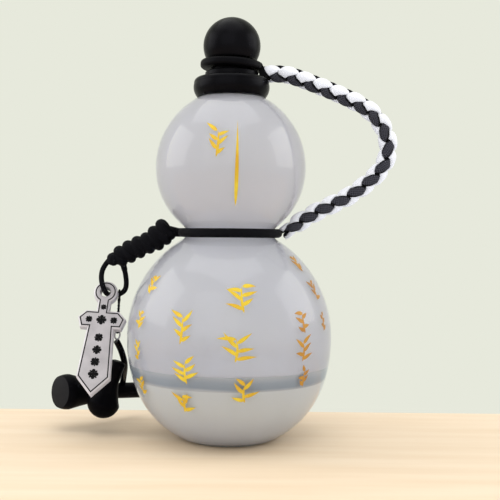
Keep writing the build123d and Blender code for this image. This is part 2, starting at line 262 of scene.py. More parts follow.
def ramp(tree, value, stops):
    made = node(tree, "ShaderNodeValToRGB")
    while len(made.color_ramp.elements) < len(stops):
        made.color_ramp.elements.new(0.5)
    for element, (at, colour) in zip(made.color_ramp.elements, stops):
        element.position = at
        element.color = (*colour, 1) if isinstance(colour, tuple) else (colour, colour, colour, 1)
    tree.links.new(value, made.inputs["Fac"])
    return made.outputs["Color"]


def math_node(tree, operation, a, b=None):
    made = node(tree, "ShaderNodeMath", operation=operation)
    for socket, value in zip(made.inputs, (a, b)):
        if value is None:
            continue
        if isinstance(value, (int, float)):
            socket.default_value = value
        else:
            tree.links.new(value, socket)
    return made.outputs[0]


def bump(tree, height, strength, distance, before=None):
    made = node(tree, "ShaderNodeBump")
    made.inputs["Strength"].default_value = strength
    made.inputs["Distance"].default_value = distance
    tree.links.new(height, made.inputs["Height"])
    if before is not None:
        tree.links.new(before, made.inputs["Normal"])
    return made.outputs["Normal"]


def crossed_weave(tree, along, across):
    """Height of two crossing sets of threads, from the mesh's own UVs, whose unit is a millimetre."""
    uv = parts_of(tree, node(tree, "ShaderNodeUVMap", uv_map="UVMap").outputs["UV"])
    u = math_node(tree, "MULTIPLY", uv["X"], 2 * math.pi / along)
    v = math_node(tree, "MULTIPLY", uv["Y"], 2 * math.pi / across)
    one = math_node(tree, "SINE", math_node(tree, "ADD", u, v))
    two = math_node(tree, "SINE", math_node(tree, "SUBTRACT", u, v))
    product = math_node(tree, "MULTIPLY", one, two)
    return math_node(tree, "MULTIPLY_ADD", product, 0.5)


# the black parts' highlights are faintly blue
SHEEN_TINT = (0.86, 0.84, 1.0, 1)


def colour_of(tree, shader, value, stops):
    tree.links.new(ramp(tree, value, stops), shader.inputs["Base Color"])


def normal_of(tree, shader, bumped):
    tree.links.new(bumped, shader.inputs["Normal"])


def put(shader, **values):
    """Sets sockets of a shader, whose names are given with _ for each space."""
    for name, value in values.items():
        shader.inputs[name.replace("_", " ")].default_value = value


def rough_of(tree, shader, value, low, high):
    tree.links.new(ramp(tree, value, [(0.3, low), (0.7, high)]), shader.inputs["Roughness"])


def satin_plastic(name, dark, pale, rough, grain=1400, specular=0.3):
    """Moulded black plastic or rubber: cloudy tone, uneven gloss and a fine grain."""
    made, tree, shader = material(name)
    cloud = noise(tree, 60, 4)
    colour_of(tree, shader, cloud, [(0.35, dark), (0.65, pale)])
    rough_of(tree, shader, noise(tree, 140, 5), rough - 0.05, rough + 0.06)
    put(shader, Specular_IOR_Level=specular, Specular_Tint=SHEEN_TINT)
    fine = bump(tree, noise(tree, grain, 2), 0.12, 0.0002)
    normal_of(tree, shader, bump(tree, noise(tree, 35, 2), 0.05, 0.0006, fine))
    return made


def cord_material(name, dark, pale, along, across, sheen, specular=0.2, crest=0):
    """Braided cord sheath: crossing threads, fibre noise and a soft sheen; with a crest given, the cord's
    sides away from it are painted dark, painted shade between neighbouring cords. Braided cord sheath:
    crossing threads, fibre noise and a soft sheen; the crest alone may be pale.
    """
    made, tree, shader = material(name)
    rough, depth = 0.75, 0.00012
    weave = crossed_weave(tree, along, across)
    fibres = noise(tree, 3800, 2)
    mixed = math_node(tree, "ADD", weave, math_node(tree, "MULTIPLY", fibres, 0.35))
    tone = mixed
    # painted shade: away from the crest the colour goes dark, standing for the shadow of the neighbouring
    # cords
    if crest:
        uv = parts_of(tree, node(tree, "ShaderNodeUVMap", uv_map="UVMap").outputs["UV"])
        away = math_node(tree, "ABSOLUTE", math_node(tree, "SUBTRACT", uv["Y"], crest))
        painted_side_shade = ramp(tree, math_node(tree, "MULTIPLY", away, 0.1), [(0.14, 1.0), (0.2, 0.0)])
        tone = math_node(tree, "MULTIPLY", mixed, painted_side_shade)
    colour_of(tree, shader, tone, [(0.15, dark), (0.85, pale)])
    rough_of(tree, shader, noise(tree, 500, 3), rough - 0.08, rough + 0.08)
    put(shader, Sheen_Weight=sheen, Sheen_Roughness=0.4)
    put(shader, Specular_IOR_Level=specular, Specular_Tint=SHEEN_TINT)
    normal_of(tree, shader, bump(tree, mixed, 0.7, depth))
    return made


def bottle_plastic(name, low, high, rough, clear, ior, ripple):
    """Faintly lavender plastic of the bottle: low and high are its colours, ripple its bump."""
    made, tree, shader = material(name)
    colour_of(tree, shader, noise(tree, 22, 3), [(0.3, low), (0.7, high)])
    rough_of(tree, shader, noise(tree, 160, 4), *rough)
    put(shader, Transmission_Weight=clear, IOR=ior)
    normal_of(tree, shader, bump(tree, noise(tree, 26, 2), *ripple))
    return made


def water_material(name, low, high, clear, rough):
    """Water: nearly white under its surface and lavender blue towards the bottom; the paler top is painted
    light and the darker bottom painted shade.
    """
    made, tree, shader = material(name)
    # painted light and shade over the height: darker lavender blue low down, paler under the surface
    height = parts_of(tree, object_place(tree))["Z"]
    high_up = math_node(tree, "DIVIDE", height, (WATER_TOP - WATER_RIM_DEPTH) * MM)
    wavy = math_node(tree, "ADD", high_up, math_node(tree, "MULTIPLY", noise(tree, 30, 2), 0.24))
    colour_of(tree, shader, math_node(tree, "MULTIPLY", wavy, 0.8), [(0.16, low), (0.62, high)])
    put(shader, Transmission_Weight=clear, IOR=1.33)
    rough_of(tree, shader, noise(tree, 70, 2), rough, rough + 0.06)
    normal_of(tree, shader, bump(tree, noise(tree, 45, 2), 0.05, 0.0006))
    return made


def rim_shade_material():
    """Rim of the water's surface: a grey-blue band of painted shade for how the surface shows at the wall,
    softer towards its two edges, and a little wavy.
    """
    made, tree, shader = material("water_rim_painted_shade")
    height = parts_of(tree, object_place(tree))["Z"]
    bottom, top = (WATER_TOP - WATER_RIM_DEPTH) * MM, (WATER_TOP + WATER_CLIMB) * MM
    high = math_node(tree, "DIVIDE", math_node(tree, "SUBTRACT", height, bottom), top - bottom)
    wavy = math_node(tree, "ADD", high, math_node(tree, "MULTIPLY", noise(tree, 22, 3), 0.5))
    # painted shade: the deep grey-blue darkens the band where the water's surface meets the wall
    pale, deep = (0.82, 0.89, 0.98), (0.46, 0.57, 0.73)
    # the wavy height runs past 1, so it is scaled down to fit the ramp
    fit = 0.7
    stops = ((0.22, pale), (0.42, deep), (0.8, (0.54, 0.65, 0.80)), (1.25, pale))
    stops = [(at * fit, colour) for at, colour in stops]
    colour_of(tree, shader, math_node(tree, "MULTIPLY", wavy, fit), stops)
    put(shader, Transmission_Weight=0.25, IOR=1.33)
    rough_of(tree, shader, noise(tree, 70, 2), 0.2, 0.26)
    return made


def gold_ink(name, low, high):
    made, tree, shader = material(name)
    colour_of(tree, shader, noise(tree, 110, 4), [(0.35, low), (0.65, high)])
    rough_of(tree, shader, noise(tree, 900, 3), 0.40, 0.52)
    put(shader, Metallic=0.1)
    normal_of(tree, shader, bump(tree, noise(tree, 2400, 2), 0.15, 0.0001))
    return made


def sword_material(name, dark, pale):
    """Cast grey metal with a soft satin face, faint casting clouds and fine brushing."""
    made, tree, shader = material(name)
    brushed = noise(tree, 320, 3, stretched_place(tree, (9, 9, 0.6)))
    cloud = math_node(tree, "MULTIPLY", noise(tree, 120, 3), 0.7)
    mixed = math_node(tree, "ADD", cloud, math_node(tree, "MULTIPLY", brushed, 0.3))
    colour_of(tree, shader, mixed, [(0.35, dark), (0.65, pale)])
    rough_of(tree, shader, brushed, 0.46, 0.6)
    put(shader, Metallic=0.25)
    normal_of(tree, shader, bump(tree, brushed, 0.12, 0.0001))
    return made


def paint(name, dark, pale, rough):
    made, tree, shader = material(name)
    colour_of(tree, shader, noise(tree, 600, 3), [(0.3, dark), (0.7, pale)])
    rough_of(tree, shader, noise(tree, 900, 2), rough - 0.05, rough + 0.05)
    put(shader, Specular_IOR_Level=0.05)
    normal_of(tree, shader, bump(tree, noise(tree, 3000, 2), 0.1, 0.00008))
    return made


# the water's surface, how far its rim of painted shade shows below it, and how far it climbs the wall
WATER_TOP, WATER_RIM_DEPTH, WATER_CLIMB = 40.0, 6.2, 1.2
# glossy clear plastic outside, and inside a milky haze that softens what lies behind the wall
CLEAR = bottle_plastic(
    "clear_plastic", (0.925, 0.925, 0.985), (0.95, 0.95, 1.0), (0.11, 0.15), 1.0, 1.42, (0.06, 0.0006)
)
HAZE = bottle_plastic(
    "hazy_plastic", (0.83, 0.83, 0.91), (0.87, 0.87, 0.94), (0.34, 0.40), 0.6, 1.3, (0.08, 0.0008)
)
WATER = water_material("water", (0.79, 0.86, 1.0), (0.86, 0.93, 1.0), 0.06, 0.1)
# the water's rim band is painted shade
WATER_RIM = rim_shade_material()
GOLD = gold_ink("gold_ink", (0.68, 0.38, 0.006), (0.83, 0.60, 0.02))
# the same gold ink, darker and more orange: painted shade and reflection for the print at the bulbs' side
SHADED_GOLD = gold_ink("shaded_side_ink", (0.42, 0.17, 0.008), (0.56, 0.27, 0.012))
LID = satin_plastic("lid_plastic", (0.0022, 0.0021, 0.0026), (0.0042, 0.004, 0.0048), 0.29, specular=0.055)
RING = satin_plastic("ring_rubber", (0.0016, 0.0016, 0.002), (0.0032, 0.0031, 0.0037), 0.46, 1800, 0.05)
SEAL = satin_plastic("seal_rubber", (0.62, 0.61, 0.59), (0.7, 0.69, 0.67), 0.6, 2200, 0.3)
RUBBER = satin_plastic("club_rubber", (0.0016, 0.0016, 0.002), (0.003, 0.003, 0.0036), 0.42, 1500, 0.03)
# the flat end faces are a rougher, paler copy of the club rubber; the paler tone is painted light on them
END_FACE_LIGHT = satin_plastic("club_end_painted_light", (0.0085, 0.0083, 0.009), (0.012, 0.0118, 0.0125), 0.6, 1500, 0.1)
GLOSSY = satin_plastic("glossy_cord", (0.001, 0.001, 0.0014), (0.002, 0.002, 0.0026), 0.18, 2600, 0.08)
WHITE = cord_material("white_sheath", (0.86, 0.86, 0.88), (0.97, 0.97, 0.98), 1.5, 1.3, 0.15)
# the black cords' sides are painted dark as shade between the cords; the crest keeps the slate tone
BLACK = cord_material(
    "black_sheath", (0.003, 0.003, 0.0036), (0.062, 0.061, 0.072), 1.5, 1.3, 0.05, specular=0.1, crest=2.93
)
CORD = cord_material("black_cord", (0.0016, 0.0016, 0.002), (0.0068, 0.0068, 0.008), 1.2, 1.1, 0.02, 0.06)
THREAD = cord_material("black_thread", (0.002, 0.002, 0.0025), (0.007, 0.007, 0.008), 0.7, 0.7, 0.02, 0.06)
METAL = sword_material("satin_metal", (0.40, 0.372, 0.38), (0.50, 0.468, 0.475))
# the bevels and sides are a paler copy of the face's metal, with the same roughness: painted light on them
PAINTED_EDGE_LIGHT = sword_material("edge_painted_light", (0.58, 0.55, 0.555), (0.68, 0.645, 0.65))
INK = paint("black_paint", (0.004, 0.0038, 0.0042), (0.008, 0.0076, 0.008), 0.5)
STEEL = sword_material("wire_steel", (0.30, 0.29, 0.295), (0.42, 0.41, 0.415))


# camera, stage and light


def seen_rays(tree):
    """One for rays that show the stage: the camera's, reflections, and those through clear parts."""
    rays = node(tree, "ShaderNodeLightPath").outputs
    seen = math_node(tree, "MAXIMUM", rays["Is Camera Ray"], rays["Is Glossy Ray"])
    return math_node(tree, "MAXIMUM", seen, rays["Is Transmission Ray"])


def set_camera():
    """Camera at the photograph's place: 461 mm in front of the axis, 110.8 mm up, rolled by 0.59 degrees."""
    data = bpy.data.cameras.new("camera")
    away, eye_height, seen_width = 0.461, 0.1108, 0.5424 * 0.5
    data.sensor_width = 36.0
    data.lens = data.sensor_width * away / seen_width
    data.shift_x, data.shift_y = 0.0398, -0.036
    data.clip_start = 0.02
    obj = bpy.data.objects.new("camera", data)
    scene.collection.objects.link(obj)
    turn = Matrix.Rotation(math.pi / 2, 4, "X") @ Matrix.Rotation(math.radians(0.59), 4, "Z")
    obj.matrix_world = Matrix.Translation((0, -away, eye_height)) @ turn
    scene.camera = obj


def set_world():
    """Even grey-white light; the camera, reflections and clear parts see the pale wall colour."""
    world = bpy.data.worlds.new("studio")
    scene.world = world
    world.use_nodes = True
    tree = world.node_tree
    tree.nodes.clear()
    light = node(tree, "ShaderNodeBackground")
    light.inputs["Color"].default_value = (0.93, 0.95, 1.0, 1)
    light.inputs["Strength"].default_value = 0.68
    wall = node(tree, "ShaderNodeBackground")
    wall.inputs["Color"].default_value = (0.799, 0.815, 0.716, 1)
    wall.inputs["Strength"].default_value = 1.0
    seen = seen_rays(tree)
    mixed = node(tree, "ShaderNodeMixShader")
    tree.links.new(seen, mixed.inputs["Fac"])
    tree.links.new(light.outputs["Background"], mixed.inputs[1])
    tree.links.new(wall.outputs["Background"], mixed.inputs[2])
    out = node(tree, "ShaderNodeOutputWorld")
    tree.links.new(mixed.outputs["Shader"], out.inputs["Surface"])


def set_floor():
    """Pale table top that ends behind the bottle; its warm colour shows, and its bounce is neutral."""
    made, tree, shader = material("pale_table")
    streaks = noise(tree, 9, 4, stretched_place(tree, (0.8, 9, 1)))
    warm = ramp(tree, streaks, [(0.3, (0.84, 0.66, 0.45)), (0.7, (0.90, 0.74, 0.54))])
    seen = seen_rays(tree)
    mixed = node(tree, "ShaderNodeMix", data_type="RGBA")
    mixed.inputs["A"].default_value = (0.84, 0.84, 0.87, 1)
    tree.links.new(seen, mixed.inputs["Factor"])
    tree.links.new(warm, mixed.inputs["B"])
    tree.links.new(mixed.outputs["Result"], shader.inputs["Base Color"])
    rough_of(tree, shader, noise(tree, 40, 3), 0.6, 0.7)
    put(shader, Specular_IOR_Level=0.2)
    mesh = bpy.data.meshes.new("table_top")
    near, far, thick = -1.2, 0.065, 0.02
    plan = ((-1.2, near), (1.2, near), (1.2, far), (-1.2, far))
    corners = [(x, y, z) for z in (-thick, 0) for x, y in plan]
    faces = [(3, 2, 1, 0), (4, 5, 6, 7), (0, 1, 5, 4), (1, 2, 6, 5), (2, 3, 7, 6), (3, 0, 4, 7)]
    mesh.from_pydata(corners, [], faces)
    mesh.materials.append(made)
    obj = bpy.data.objects.new("table_top", mesh)
    scene.collection.objects.link(obj)


def set_lamp(name, at, towards, size, power):
    data = bpy.data.lights.new(name, "AREA")
    data.shape = "RECTANGLE"
    data.size, data.size_y = size
    data.energy = power
    obj = bpy.data.objects.new(name, data)
    scene.collection.objects.link(obj)
    obj.location = at
    obj.rotation_euler = (Vector(towards) - Vector(at)).to_track_quat("-Z", "Y").to_euler()


set_camera()
set_world()
set_floor()
set_lamp("lamp_top", (-0.05, -0.05, 0.75), (0, 0, 0.1), (0.8, 0.6), 2.3)
set_lamp("lamp_front", (-0.3, -1.1, 0.62), (0, 0, 0.11), (1.2, 1.0), 2.9)
set_lamp("lamp_left", (-0.74, 0.02, 0.42), (0, 0, 0.11), (0.6, 0.55), 2.1)
set_lamp("lamp_right", (0.74, 0.02, 0.42), (0, 0, 0.11), (0.6, 0.55), 2.1)


# cords, along the source's routes

STRAP_ROUTE = [
    (21.0, 0.0, 196.7), (28.5, -0.4, 197.0), (39.5, -0.8, 193.4), (58.0, -1.5, 186.0),
    (73.5, -2.2, 178.7), (81.9, -2.6, 169.3), (85.4, -2.6, 158.5), (83.4, -2.3, 148.2),
    (76.0, -1.8, 139.4), (63.2, -1.2, 129.9), (48.2, -0.5, 123.1), (37.8, -0.1, 116.9),
    (28.9, 0.0, 110.3),
]
LOOP_ROUTE = [
    (-64.4, -0.8, 96.0), (-68.2, -2.2, 91.8), (-69.4, -3.6, 85.5), (-67.3, -5.4, 78.8),
    (-66.0, 4.6, 75.2), (-57.3, 4.6, 76.7), (-55.9, 2.8, 83.9), (-57.4, 0.8, 90.8),
]
PENDANT_ROUTE = [
    (-61.6, 4.4, 50.5), (-59.9, 6.0, 47.0), (-58.6, 9.8, 41.5), (-57.9, 14.5, 35.5),
    (-60.3, 27.0, 27.0), (-62.1, 36.6, 21.0),
]


def smooth_step(x):
    x = np.clip(x, 0, 1)
    return x * x * (3 - 2 * x)


def tongue_x(z):
    """How far out the sloping face of the strap ring's tongue lies at a height."""
    return 18.4 + (196.7 - z) * math.tan(math.radians(25))


def braid(points, at):
    """Round braid of two black and two white cords: each crosses the others over and under in turn."""
    shape = Shape()
    along = directions(points)
    front = np.array((0.0, -1.0, 0.0))
    facing = unit(front - along * (along @ front)[:, None])
    across = np.cross(along, facing)
    share = at / at[-1]
    # the black row lies towards the inside of the arc at the top and in front lower down
    turn = np.radians(np.interp(share, (0, 0.30, 0.46, 0.60, 1), (61, 58, 24, 2, -8)))
    pitch = 19.4
    taper = 1 - 0.28 * smooth_step((share - 0.93) / 0.07) - 0.08 * smooth_step((0.05 - share) / 0.05)
    steps = 16
    angles = np.arange(steps) * 2 * math.pi / steps
    for strand in range(4):
        black = strand < 2
        hand = 1 if black else -1
        theta = hand * 2 * math.pi * at / pitch + (strand % 2) * math.pi
        phi = theta - hand * 0.36 * np.sin(2 * theta)
        lift = np.cos(2 * phi) * hand
        radius = (2.2 + 1.15 * lift) * taper
        angle = phi + turn
        out = np.cos(angle)[:, None] * facing + np.sin(angle)[:, None] * across
        line = points + radius[:, None] * out
        tangent = directions(line)
        up = unit(out - tangent * np.sum(out * tangent, axis=1)[:, None])
        wide = np.cross(tangent, up)
        half_wide = ((2.35 if black else 2.6) + 0.4 * lift) * taper
        half_thick = ((1.35 if black else 1.6) + 0.1 * lift) * taper
        c, s = np.cos(angles), np.sin(angles)
        c = np.sign(c) * np.abs(c) ** 0.86
        rows = line[:, None] + (half_wide[:, None] * c)[:, :, None] * wide[:, None]
        rows = rows + (half_thick[:, None] * s)[:, :, None] * up[:, None]
        # each cord starts at the tongue's sloping face
        rows = rows[(at > 12) | (line[:, 0] > tongue_x(line[:, 2]) - 0.3)]
        us = np.arange(len(rows) + 1) * (at[1] - at[0]) * 1.25
        shape.grid(rows, True, False, us, np.linspace(0, 11.7, steps + 1), 1 if black else 0, (True, True))
    return shape


def carry_strap():
    guide = route_curve("strap_guide", STRAP_ROUTE)
    points = curve_points(guide)
    bpy.data.objects.remove(guide)
    # the cords of the braid run on over the boss to the tongue
    lead = points[0] + (points[0] - points[1]) * 5.0 / np.linalg.norm(points[0] - points[1])
    over_boss, at = spaced(np.vstack([[lead], points]), 0.45)
    points, _ = spaced(points, 0.45)
    obj = braid(over_boss, at).make("strap_braid", [WHITE, BLACK], 180)
    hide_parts("carry_strap")
    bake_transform(obj)


def round_cord(name, route, diameter, shown, node_name, body):
    """A free cord as a round tube that follows the smooth curve of its route."""
    guide = route_curve(name + "_guide", route)
    points, _ = spaced(curve_points(guide), 0.5)
    bpy.data.objects.remove(guide)
    shape = Shape()
    tube(shape, points, diameter / 2, 20)
    obj = place(shape.make(name, [shown], 60), body, (node_name,))


# bottle, water and print

LOWER_R, LOWER_Z, SHOULDER_ARC, SIDE_ARC, SIDE_TURN = 55.0, 54.5, 61.0, 80.0, 17.0
UPPER_R, CROWN_ARC, WAIST_R, GROOVE_ARC = 40.5, 43.0, 23.35, 4.0
FOOT_R, FOOT_WIDTH, PUNT, FLOOR_THICK, WALL = 24.0, 4.5, 3.5, 2.8, 2.2
CORNER_POINTS, PRINT_LIFT = 5, 0.12
LEDGE_R, NECK_R, BORE_R, NECK_HEIGHT = 18.2, 15.8, 13.0, 5.8


def arc_points(centre, radius, start, end, count):
    """Points of an arc in radius and height, from one angle in degrees to another, without its last."""
    angles = np.radians(np.linspace(start, end, count, endpoint=False))
    return [(centre[0] + radius * math.cos(a), centre[1] + radius * math.sin(a)) for a in angles]


def angle_of(centre, point):
    return math.degrees(math.atan2(point[1] - centre[1], point[0] - centre[0]))


def bottle_centres():
    """Centres of the arcs that the source builds the bulbs from, and the base corner's radius."""
    normal = (math.cos(math.radians(SIDE_TURN)), -math.sin(math.radians(SIDE_TURN)))
    side = (LOWER_R - SIDE_ARC, LOWER_Z)
    end = (side[0] + SIDE_ARC * normal[0], side[1] + SIDE_ARC * normal[1])
    run = (end[0] - FOOT_R, end[1])
    corner_arc = (run[0] ** 2 + run[1] ** 2) / (2 * (run[0] * normal[0] + run[1] * normal[1]))
    corner = (end[0] - corner_arc * normal[0], end[1] - corner_arc * normal[1])
    shoulder = (LOWER_R - SHOULDER_ARC, LOWER_Z)
    groove_r = WAIST_R + GROOVE_ARC
    groove_z = LOWER_Z + math.sqrt((SHOULDER_ARC + GROOVE_ARC) ** 2 - (groove_r - shoulder[0]) ** 2)
    upper_z = groove_z + math.sqrt((UPPER_R + GROOVE_ARC) ** 2 - groove_r**2)
    return {
        "side": side,
        "corner": corner,
        "corner_arc": corner_arc,
        "shoulder": shoulder,
        "groove": (groove_r, groove_z),
        "upper": (0.0, upper_z),
        "crown": (UPPER_R - CROWN_ARC, upper_z),
    }


ARCS = bottle_centres()
WAIST_Z = ARCS["groove"][1]
LEDGE_Z = ARCS["crown"][1] + math.sqrt(CROWN_ARC**2 - (LEDGE_R - ARCS["crown"][0]) ** 2)
MOUTH_Z = LEDGE_Z + NECK_HEIGHT


def wall_line(inset, start_angle, end_r, fine):
    """Both bulbs from the base corner to the crown, moved in by an inset."""
    to_lower = angle_of(ARCS["groove"], ARCS["shoulder"]) % 360
    to_upper = angle_of(ARCS["groove"], ARCS["upper"])
    crown_radius = CROWN_ARC - inset
    crown_end = math.degrees(math.acos((end_r - ARCS["crown"][0]) / crown_radius))
    line = arc_points(ARCS["corner"], ARCS["corner_arc"] - inset, start_angle, -SIDE_TURN, 26 * fine)
    line += arc_points(ARCS["side"], SIDE_ARC - inset, -SIDE_TURN, 0, 14 * fine)
    line += arc_points(ARCS["shoulder"], SHOULDER_ARC - inset, 0, to_lower - 180, 30 * fine)
    line += arc_points(ARCS["groove"], GROOVE_ARC + inset, to_lower, to_upper, 12 * fine)
    line += arc_points(ARCS["upper"], UPPER_R - inset, to_upper - 180, 0, 26 * fine)
    line += arc_points(ARCS["crown"], crown_radius, 0, crown_end, 26 * fine)
    return line, math.sqrt(crown_radius**2 - (end_r - ARCS["crown"][0]) ** 2) + ARCS["crown"][1]


def dome(radius, z, rise, count):
    """Shallow dome from near the axis out to a rim."""
    big = (radius**2 + rise**2) / (2 * rise)
    rs = np.linspace(0.7, radius, count)
    return [(r, z + rise - big + math.sqrt(big**2 - r**2)) for r in rs]


def rounded(points, radius):
    """Rounds the inner corners of a short profile."""
    out = [points[0]]
    for before, here, after in zip(points, points[1:], points[2:]):
        a, b = np.array(before) - here, np.array(after) - here
        cut = min(radius, 0.45 * np.linalg.norm(a), 0.45 * np.linalg.norm(b))
        p, q = here + a / np.linalg.norm(a) * cut, here + b / np.linalg.norm(b) * cut
        for t in np.linspace(0, 1, CORNER_POINTS):
            out.append(tuple((1 - t) ** 2 * p + 2 * t * (1 - t) * np.array(here) + t**2 * q))
    out.append(points[-1])
    return out


def corner_angle(radius, height):
    """Angle of a point on the arc of the base corner."""
    return angle_of(ARCS["corner"], (radius, height))


def outer_line(fine):
    line, ledge = wall_line(0, corner_angle(FOOT_R, 0.0), LEDGE_R, fine)
    return line + [(LEDGE_R, ledge)]


def inner_line(fine, inset=WALL):
    radius = ARCS["corner_arc"] - inset
    floor_r = ARCS["corner"][0] + math.sqrt(radius**2 - (ARCS["corner"][1] - FLOOR_THICK) ** 2)
    line, top = wall_line(inset, corner_angle(floor_r, FLOOR_THICK), BORE_R, fine)
    return line + [(BORE_R, top)], floor_r


def bottle():
    """One moulded piece: foot ring, pushed-up base, two bulbs, ledge, neck with its thread."""
    fine = 2
    outside, (inside, floor_r) = outer_line(fine), inner_line(fine)
    foot_inner = FOOT_R - FOOT_WIDTH
    foot = rounded([dome(foot_inner, 0, PUNT, 3)[1], (foot_inner, 0.0), (FOOT_R, 0.0), outside[3]], 0.7)
    neck = [outside[-2], (LEDGE_R, LEDGE_Z), (NECK_R, LEDGE_Z), (NECK_R, MOUTH_Z), (BORE_R, MOUTH_Z)]
    neck += [inside[-1], inside[-3]]
    outer = dome(foot_inner, 0, PUNT, 14)[:-5] + foot[1:-1] + outside[3:-2] + rounded(neck, 0.5)
    inner = inside[-4:0:-1] + dome(floor_r, FLOOR_THICK, PUNT, 16)[::-1]
    shape = Shape()
    marks = [0] * (len(outer) - 1) + [1] * len(inner)
    shape.grid(turned_rows(outer + inner, 96 * fine), mark=marks, caps=(True, True))
    obj = shape.make("bottle_shell", [CLEAR, HAZE], 50)
    place(obj, "bottle", ("bottle_body",))
    thread = Shape()
    turns = np.linspace(0, 2 * math.pi * 1.6, 150)
    rise = LEDGE_Z + 1.4 + 2.0 * turns / (2 * math.pi)
    line = np.stack([NECK_R * np.sin(turns), -NECK_R * np.cos(turns), rise], axis=1)
    tube(thread, line, 0.42 * smooth_step(np.minimum(turns, turns[::-1]) * 3) + 0.02, 10)
    place(thread.make("bottle_neck_thread", [CLEAR], 60), "bottle")


def water():
    """Water left in the lower bulb, just into the wall, with a darker rim of painted shade where its edge
    shows.
    """
    line, floor_r = inner_line(2, WALL - 0.05)
    deep = WATER_TOP - WATER_RIM_DEPTH
    below = [p for p in line if p[1] < deep]
    rim = below[-1:] + [p for p in line if deep <= p[1] < WATER_TOP + WATER_CLIMB]
    edge = rim[-1][0]
    inwards = (0.25, 0.6, 1.1, 1.8, 2.8, 4.5)
    climb = [(edge - d, WATER_TOP + WATER_CLIMB * math.exp(-d / 1.1)) for d in inwards]
    flat = [(r, WATER_TOP) for r in np.linspace(edge - 8, 0.8, 10)]
    bottom = dome(floor_r, FLOOR_THICK - 0.05, PUNT, 16)
    shape = Shape()
    parts = (bottom + below[1:], rim[1:] + climb[:4], climb[4:] + flat)
    marks = [k % 2 for k, part in enumerate(parts) for _ in part][1:]
    shape.grid(turned_rows(sum(parts, []), 128), mark=marks, caps=(True, True))
    place(shape.make("water", [WATER, WATER_RIM], 50), "bottle")


OUTSIDE = np.array(outer_line(2))


def radius_at(z):
    return float(np.interp(z, OUTSIDE[:, 1], OUTSIDE[:, 0]))


def spot(column, row):
    """Angle round the bottle of a place given in millimetres right of the axis and up."""
    return math.asin(column / radius_at(row))


def on_bottle(angle, height):
    """Point just outside the bottle, at an angle round it from the front and a height."""
    slope = radius_at(height + 0.5) - radius_at(height - 0.5)
    size = math.hypot(1, slope)
    r, z = radius_at(height) + PRINT_LIFT / size, height - PRINT_LIFT * slope / size
    return (r * math.sin(angle), -r * math.cos(angle), z)


def blade(shape, angle, height, heading, length, width, bend):
    """One long leaf on the bottle, from its stalk along a heading in degrees from straight up."""
    count, across = 15, 5
    rows = []
    at_x, at_z = 0.0, 0.0
    for i in range(count):
        t = i / (count - 1)
        turn = math.radians(heading + bend * t)
        half = width / 2 * (math.sin(math.pi * min(1, t * 1.02) ** 0.62) ** 0.9 + 0.02)
        rows.append([])
        for j in range(across):
            side = (j / (across - 1) * 2 - 1) * half
            x = at_x + side * math.cos(turn)
            z = at_z - side * math.sin(turn)
            rows[-1].append(on_bottle(angle + x / radius_at(height + z), height + z))
        at_x += length / (count - 1) * math.sin(turn)
        at_z += length / (count - 1) * math.cos(turn)
    shape.grid(rows, False)


def spray(shape, column, row, wide, high, seed):
    """Small spray of narrow leaves: a bent stem with leaves that leave it in turn on both sides."""
    rng = np.random.default_rng(seed)
    flip = 1 if seed % 2 else -1
    lean = flip * math.degrees(math.atan2(0.3 * wide, high))
    low, stem = row - high / 2, high * 0.8
    angle = spot(column, row)
    blade(shape, angle - flip * 0.12 * wide / 50, low, lean, stem, 1.3, -2 * lean)
    count = 6 if high > 13 else 5
    for k in range(count):
        t = 0.12 + 0.8 * k / (count - 1)
        turn = math.radians(lean * (1 - t))
        x = stem * t * math.sin(turn) - flip * 0.12 * wide
        z = low + stem * t * math.cos(turn)
        side = 1 if (k + seed) % 2 else -1
        length = (0.42 + 0.24 * rng.random()) * wide * (1.1 - 0.3 * abs(t - 0.45))
        heading = side * (38 + 44 * rng.random())
        blade(shape, angle + x / radius_at(z), z, heading, length, 1.9, side * rng.uniform(-34, 26))


def gold_print():
    """Leaf sprays on both bulbs and one long stem, in gold in front and, at the side, in a darker, more
    orange copy of the gold that is painted shade and reflection.
    """
    gold, side_gold = Shape(), Shape()
    blade(gold, spot(2.9, 145.0), 124.0, 0, 42.5, 1.9, 2)
    for place_and_size in FRONT_SPRAYS:
        spray(gold, *place_and_size)
    for place_and_size in SIDE_SPRAYS:
        spray(side_gold, *place_and_size)
    for name, shape, ink in (("gold_print", gold, GOLD), ("shaded_side_print", side_gold, SHADED_GOLD)):
        place(shape.make(name, [ink], 180, solid=False), "bottle")


# middle right of the axis, middle up, width, height and seed, in millimetres
FRONT_SPRAYS = [
    (-6.0, 157.0, 12, 18, 3), (5.1, 80.3, 14, 17, 4), (5.3, 55.9, 18, 15, 7),
    (6.5, 34.3, 13, 12, 8), (-21.9, 65.1, 13, 18, 11), (-22.1, 43.8, 12, 14, 14),
    (-21.2, 27.5, 11, 11, 5), (-39.2, 84.3, 10, 11, 6), (-44.8, 66.7, 8, 11, 9),
    (-46.7, 50.8, 8, 11, 12), (-44.1, 32.8, 9, 11, 15),
]
SIDE_SPRAYS = [
    (34.5, 95.0, 7, 9, 16), (43.7, 81.7, 9, 11, 13), (36.1, 67.5, 9, 13, 18),
    (37.7, 53.2, 12, 12, 21), (36.9, 39.6, 8, 11, 20), (48.2, 66.1, 6, 11, 23),
]


# lid and waist cord


def dress_lid():
    for name in ("lid_collar", "drinking_spout", "lid_seal_plate", "ball_cap"):
        dress(name, LID)
    dress("strap_ring", RING)
    dress("lid_gasket", SEAL)
    dress("ball_cap_liner", SEAL)


def dress(name, shown):
    """Gives a carried-over node its material."""
    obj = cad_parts[name]
    obj.data.materials.clear()
    obj.data.materials.append(shown)


